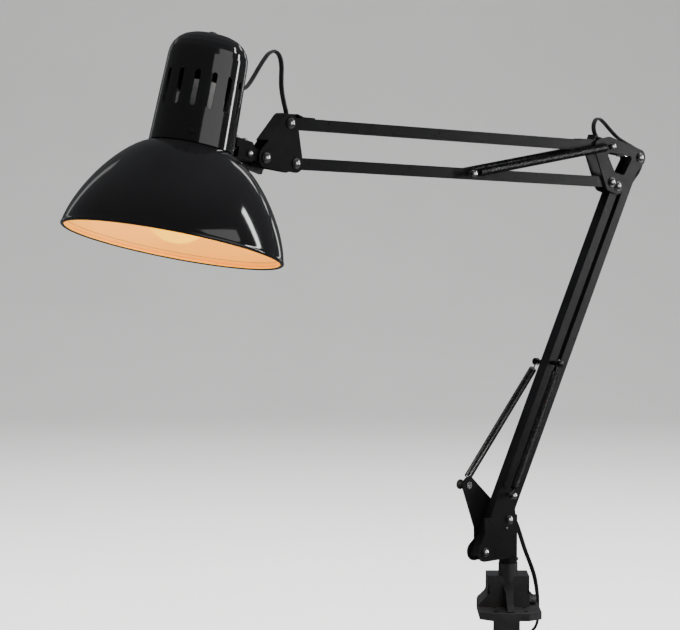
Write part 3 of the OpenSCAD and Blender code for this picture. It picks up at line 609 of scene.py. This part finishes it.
# ---------------------------------------------------------------- CAD nodes that keep their shape
LOOKS = {
    powder: ["base_post", "base_plate_near", "base_plate_far", "lower_bar_right", "lower_bar_left",
             "elbow_plate_near", "elbow_plate_far", "upper_bar_top", "upper_bar_bottom", "cord_guards",
             "head_bracket", "knuckle_block"],
    casting: ["clamp_frame"],
    nickel: ["clamp_screw", "clamp_handle", "lock_screw", "hub_screw", "base_bolts", "base_washers",
             "base_spring_pins", "elbow_bolts", "elbow_washers", "elbow_spacer",
             "upper_spring_pin", "head_bolts", "head_washers", "knuckle_screws", "shade_stud",
             "plug_pins", "holder_plate"],
    black_zinc: ["tilt_wing_nut", "lower_spring_pin", "cap_screws"],
    enamel: ["shade_cap"],
    porcelain: ["lamp_holder"],
    screw_cap: ["bulb_base"],
    moulded: ["switch_body", "switch_button", "clamp_pad", "plug_body", "cord_tie"],
    sheath: ["cord_bush"],
}
for material, names in LOOKS.items():
    for n in names:
        o = frame["nodes"][n]
        o.data.materials.clear()
        o.data.materials.append(material)


HEAD_R = 0.0034             # faces that reach beyond this from a bolt's axis belong to its washers
FLAT_ON = 0.9               # a face whose normal is this far along the bolt is a washer's flat side


def darken_washers(node, rims=True):
    """Gives a node's washers a dark finish with their rims included; with rims left bright, only the flat
    sides go dark, painted shade that leaves the rims as bright rings.
    """
    mesh = frame["nodes"][node].data
    mesh.materials.append(black_zinc)
    flat = [v.co - ACROSS * v.co.dot(ACROSS) for v in mesh.vertices]
    owner = list(range(len(flat)))

    def root(i):
        while owner[i] != i:
            owner[i] = owner[owner[i]]
            i = owner[i]
        return i

    for edge in mesh.edges:
        owner[root(edge.vertices[0])] = root(edge.vertices[1])
    groups = {}
    for i in range(len(flat)):
        groups.setdefault(root(i), []).append(flat[i])
    centres = {}
    for k, points in groups.items():
        low = Vector([min(p[c] for p in points) for c in range(3)])
        high = Vector([max(p[c] for p in points) for c in range(3)])
        centres[k] = (low + high) / 2
    for face in mesh.polygons:
        centre = centres[root(face.vertices[0])]
        outside = max((flat[i] - centre).length for i in face.vertices) > HEAD_R
        if outside and (rims or abs(face.normal.dot(ACROSS)) > FLAT_ON):
            face.material_index = 1


darken_washers("head_bolts")
# Bright washers with painted shade on their flat sides, the rims left bright
darken_washers("elbow_bolts", rims=False)
darken_washers("base_bolts", rims=False)


def soften(nodes, width, segments=2, angle=35):
    """Rounds the sharp edges of CAD nodes."""
    for n in nodes:
        o = frame["nodes"][n]
        bevel = o.modifiers.new("edge", "BEVEL")
        bevel.width = width
        bevel.segments = segments
        bevel.limit_method = "ANGLE"
        bevel.angle_limit = math.radians(angle)
        bevel.harden_normals = True


soften(["lower_bar_right", "lower_bar_left", "upper_bar_top", "upper_bar_bottom"], width=0.0007, segments=3)
soften(["base_plate_near", "base_plate_far", "elbow_plate_near", "elbow_plate_far", "head_bracket"],
       width=0.0003)
soften(["clamp_frame"], width=0.0009, segments=3)
soften(["knuckle_block", "base_post"], width=0.0006)


# ---------------------------------------------------------------- stage and light
def stage_sweep():
    """Pale floor that curves up into a backdrop."""
    low = cad_lo.z - 0.0005
    front, rear, radius, top, half = -4.0, 3.2, 1.2, 4.5, 7.0
    profile = [(front, low), (rear, low)]
    profile += [(rear + radius * math.sin(math.radians(a)), low + radius * (1 - math.cos(math.radians(a))))
                for a in range(6, 91, 6)]
    profile.append((rear + radius, top))
    verts = [(x, y, z) for y, z in profile for x in (-half, half)]
    faces = [(2 * i, 2 * i + 1, 2 * i + 3, 2 * i + 2) for i in range(len(profile) - 1)]
    obj = make_object("floor", verts, faces)
    mat, tree, bsdf = new_material("pale_floor")
    grain = noise(tree, 3)
    tree.links.new(ramp(tree, grain.outputs["Fac"], [(0.3, (0.84, 0.84, 0.83)), (0.7, (0.87, 0.87, 0.86))]),
                   bsdf.inputs["Base Color"])
    bsdf.inputs["Roughness"].default_value = 0.9
    obj.data.materials.append(mat)
    obj.visible_glossy = False


stage_sweep()


def area_light(name, at, towards, size, radiance, glossy):
    """Soft panel of the given radiance, turned towards a point."""
    data = bpy.data.lights.new(name, "AREA")
    data.shape = "RECTANGLE"
    data.size, data.size_y = size
    data.energy = radiance * math.pi * size[0] * size[1]
    obj = bpy.data.objects.new(name, data)
    obj.location = at
    obj.rotation_euler = (Vector(towards) - Vector(at)).to_track_quat("-Z", "Y").to_euler()
    obj.visible_camera = False
    obj.visible_glossy = glossy
    bpy.context.scene.collection.objects.link(obj)


# Panels that all face the lamp: name, place, size, radiance, and whether the enamel shows them
PANELS = [
    ("strip_right", (1.75, 0.3, 0.75), (0.2, 1.7), 13, True),
    ("strip_back_right", (0.85, 1.8, 0.9), (0.16, 1.6), 2.0, True),
    ("strip_back_left", (-1.5, 1.5, 0.9), (0.2, 1.6), 0.5, True),
    ("panel_front", (1.25, -1.35, 0.55), (1.9, 1.7), 1.1, True),
    ("top", (0.0, 0.4, 2.6), (2.6, 2.0), 17, False),
]
lamp_middle = (cad_lo + cad_hi) / 2
for panel, at, size, radiance, glossy in PANELS:
    area_light(panel, at, lamp_middle, size, radiance, glossy)
world = bpy.data.worlds.new("studio")
world.use_nodes = True
world.node_tree.nodes["Background"].inputs["Color"].default_value = (0.95, 0.97, 1.0, 1)
world.node_tree.nodes["Background"].inputs["Strength"].default_value = 0.08
bpy.context.scene.world = world

bulb = bpy.data.lights.new("bulb", "POINT")
bulb.energy = 0.42
bulb.color = (1.0, 0.56, 0.0)
bulb.shadow_soft_size = 0.02
bulb_light = bpy.data.objects.new("bulb", bulb)
bulb_light.location = rim_centre + SHADE_AXIS * GLOBE_Z
bpy.context.scene.collection.objects.link(bulb_light)
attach(bulb_light, "shade")
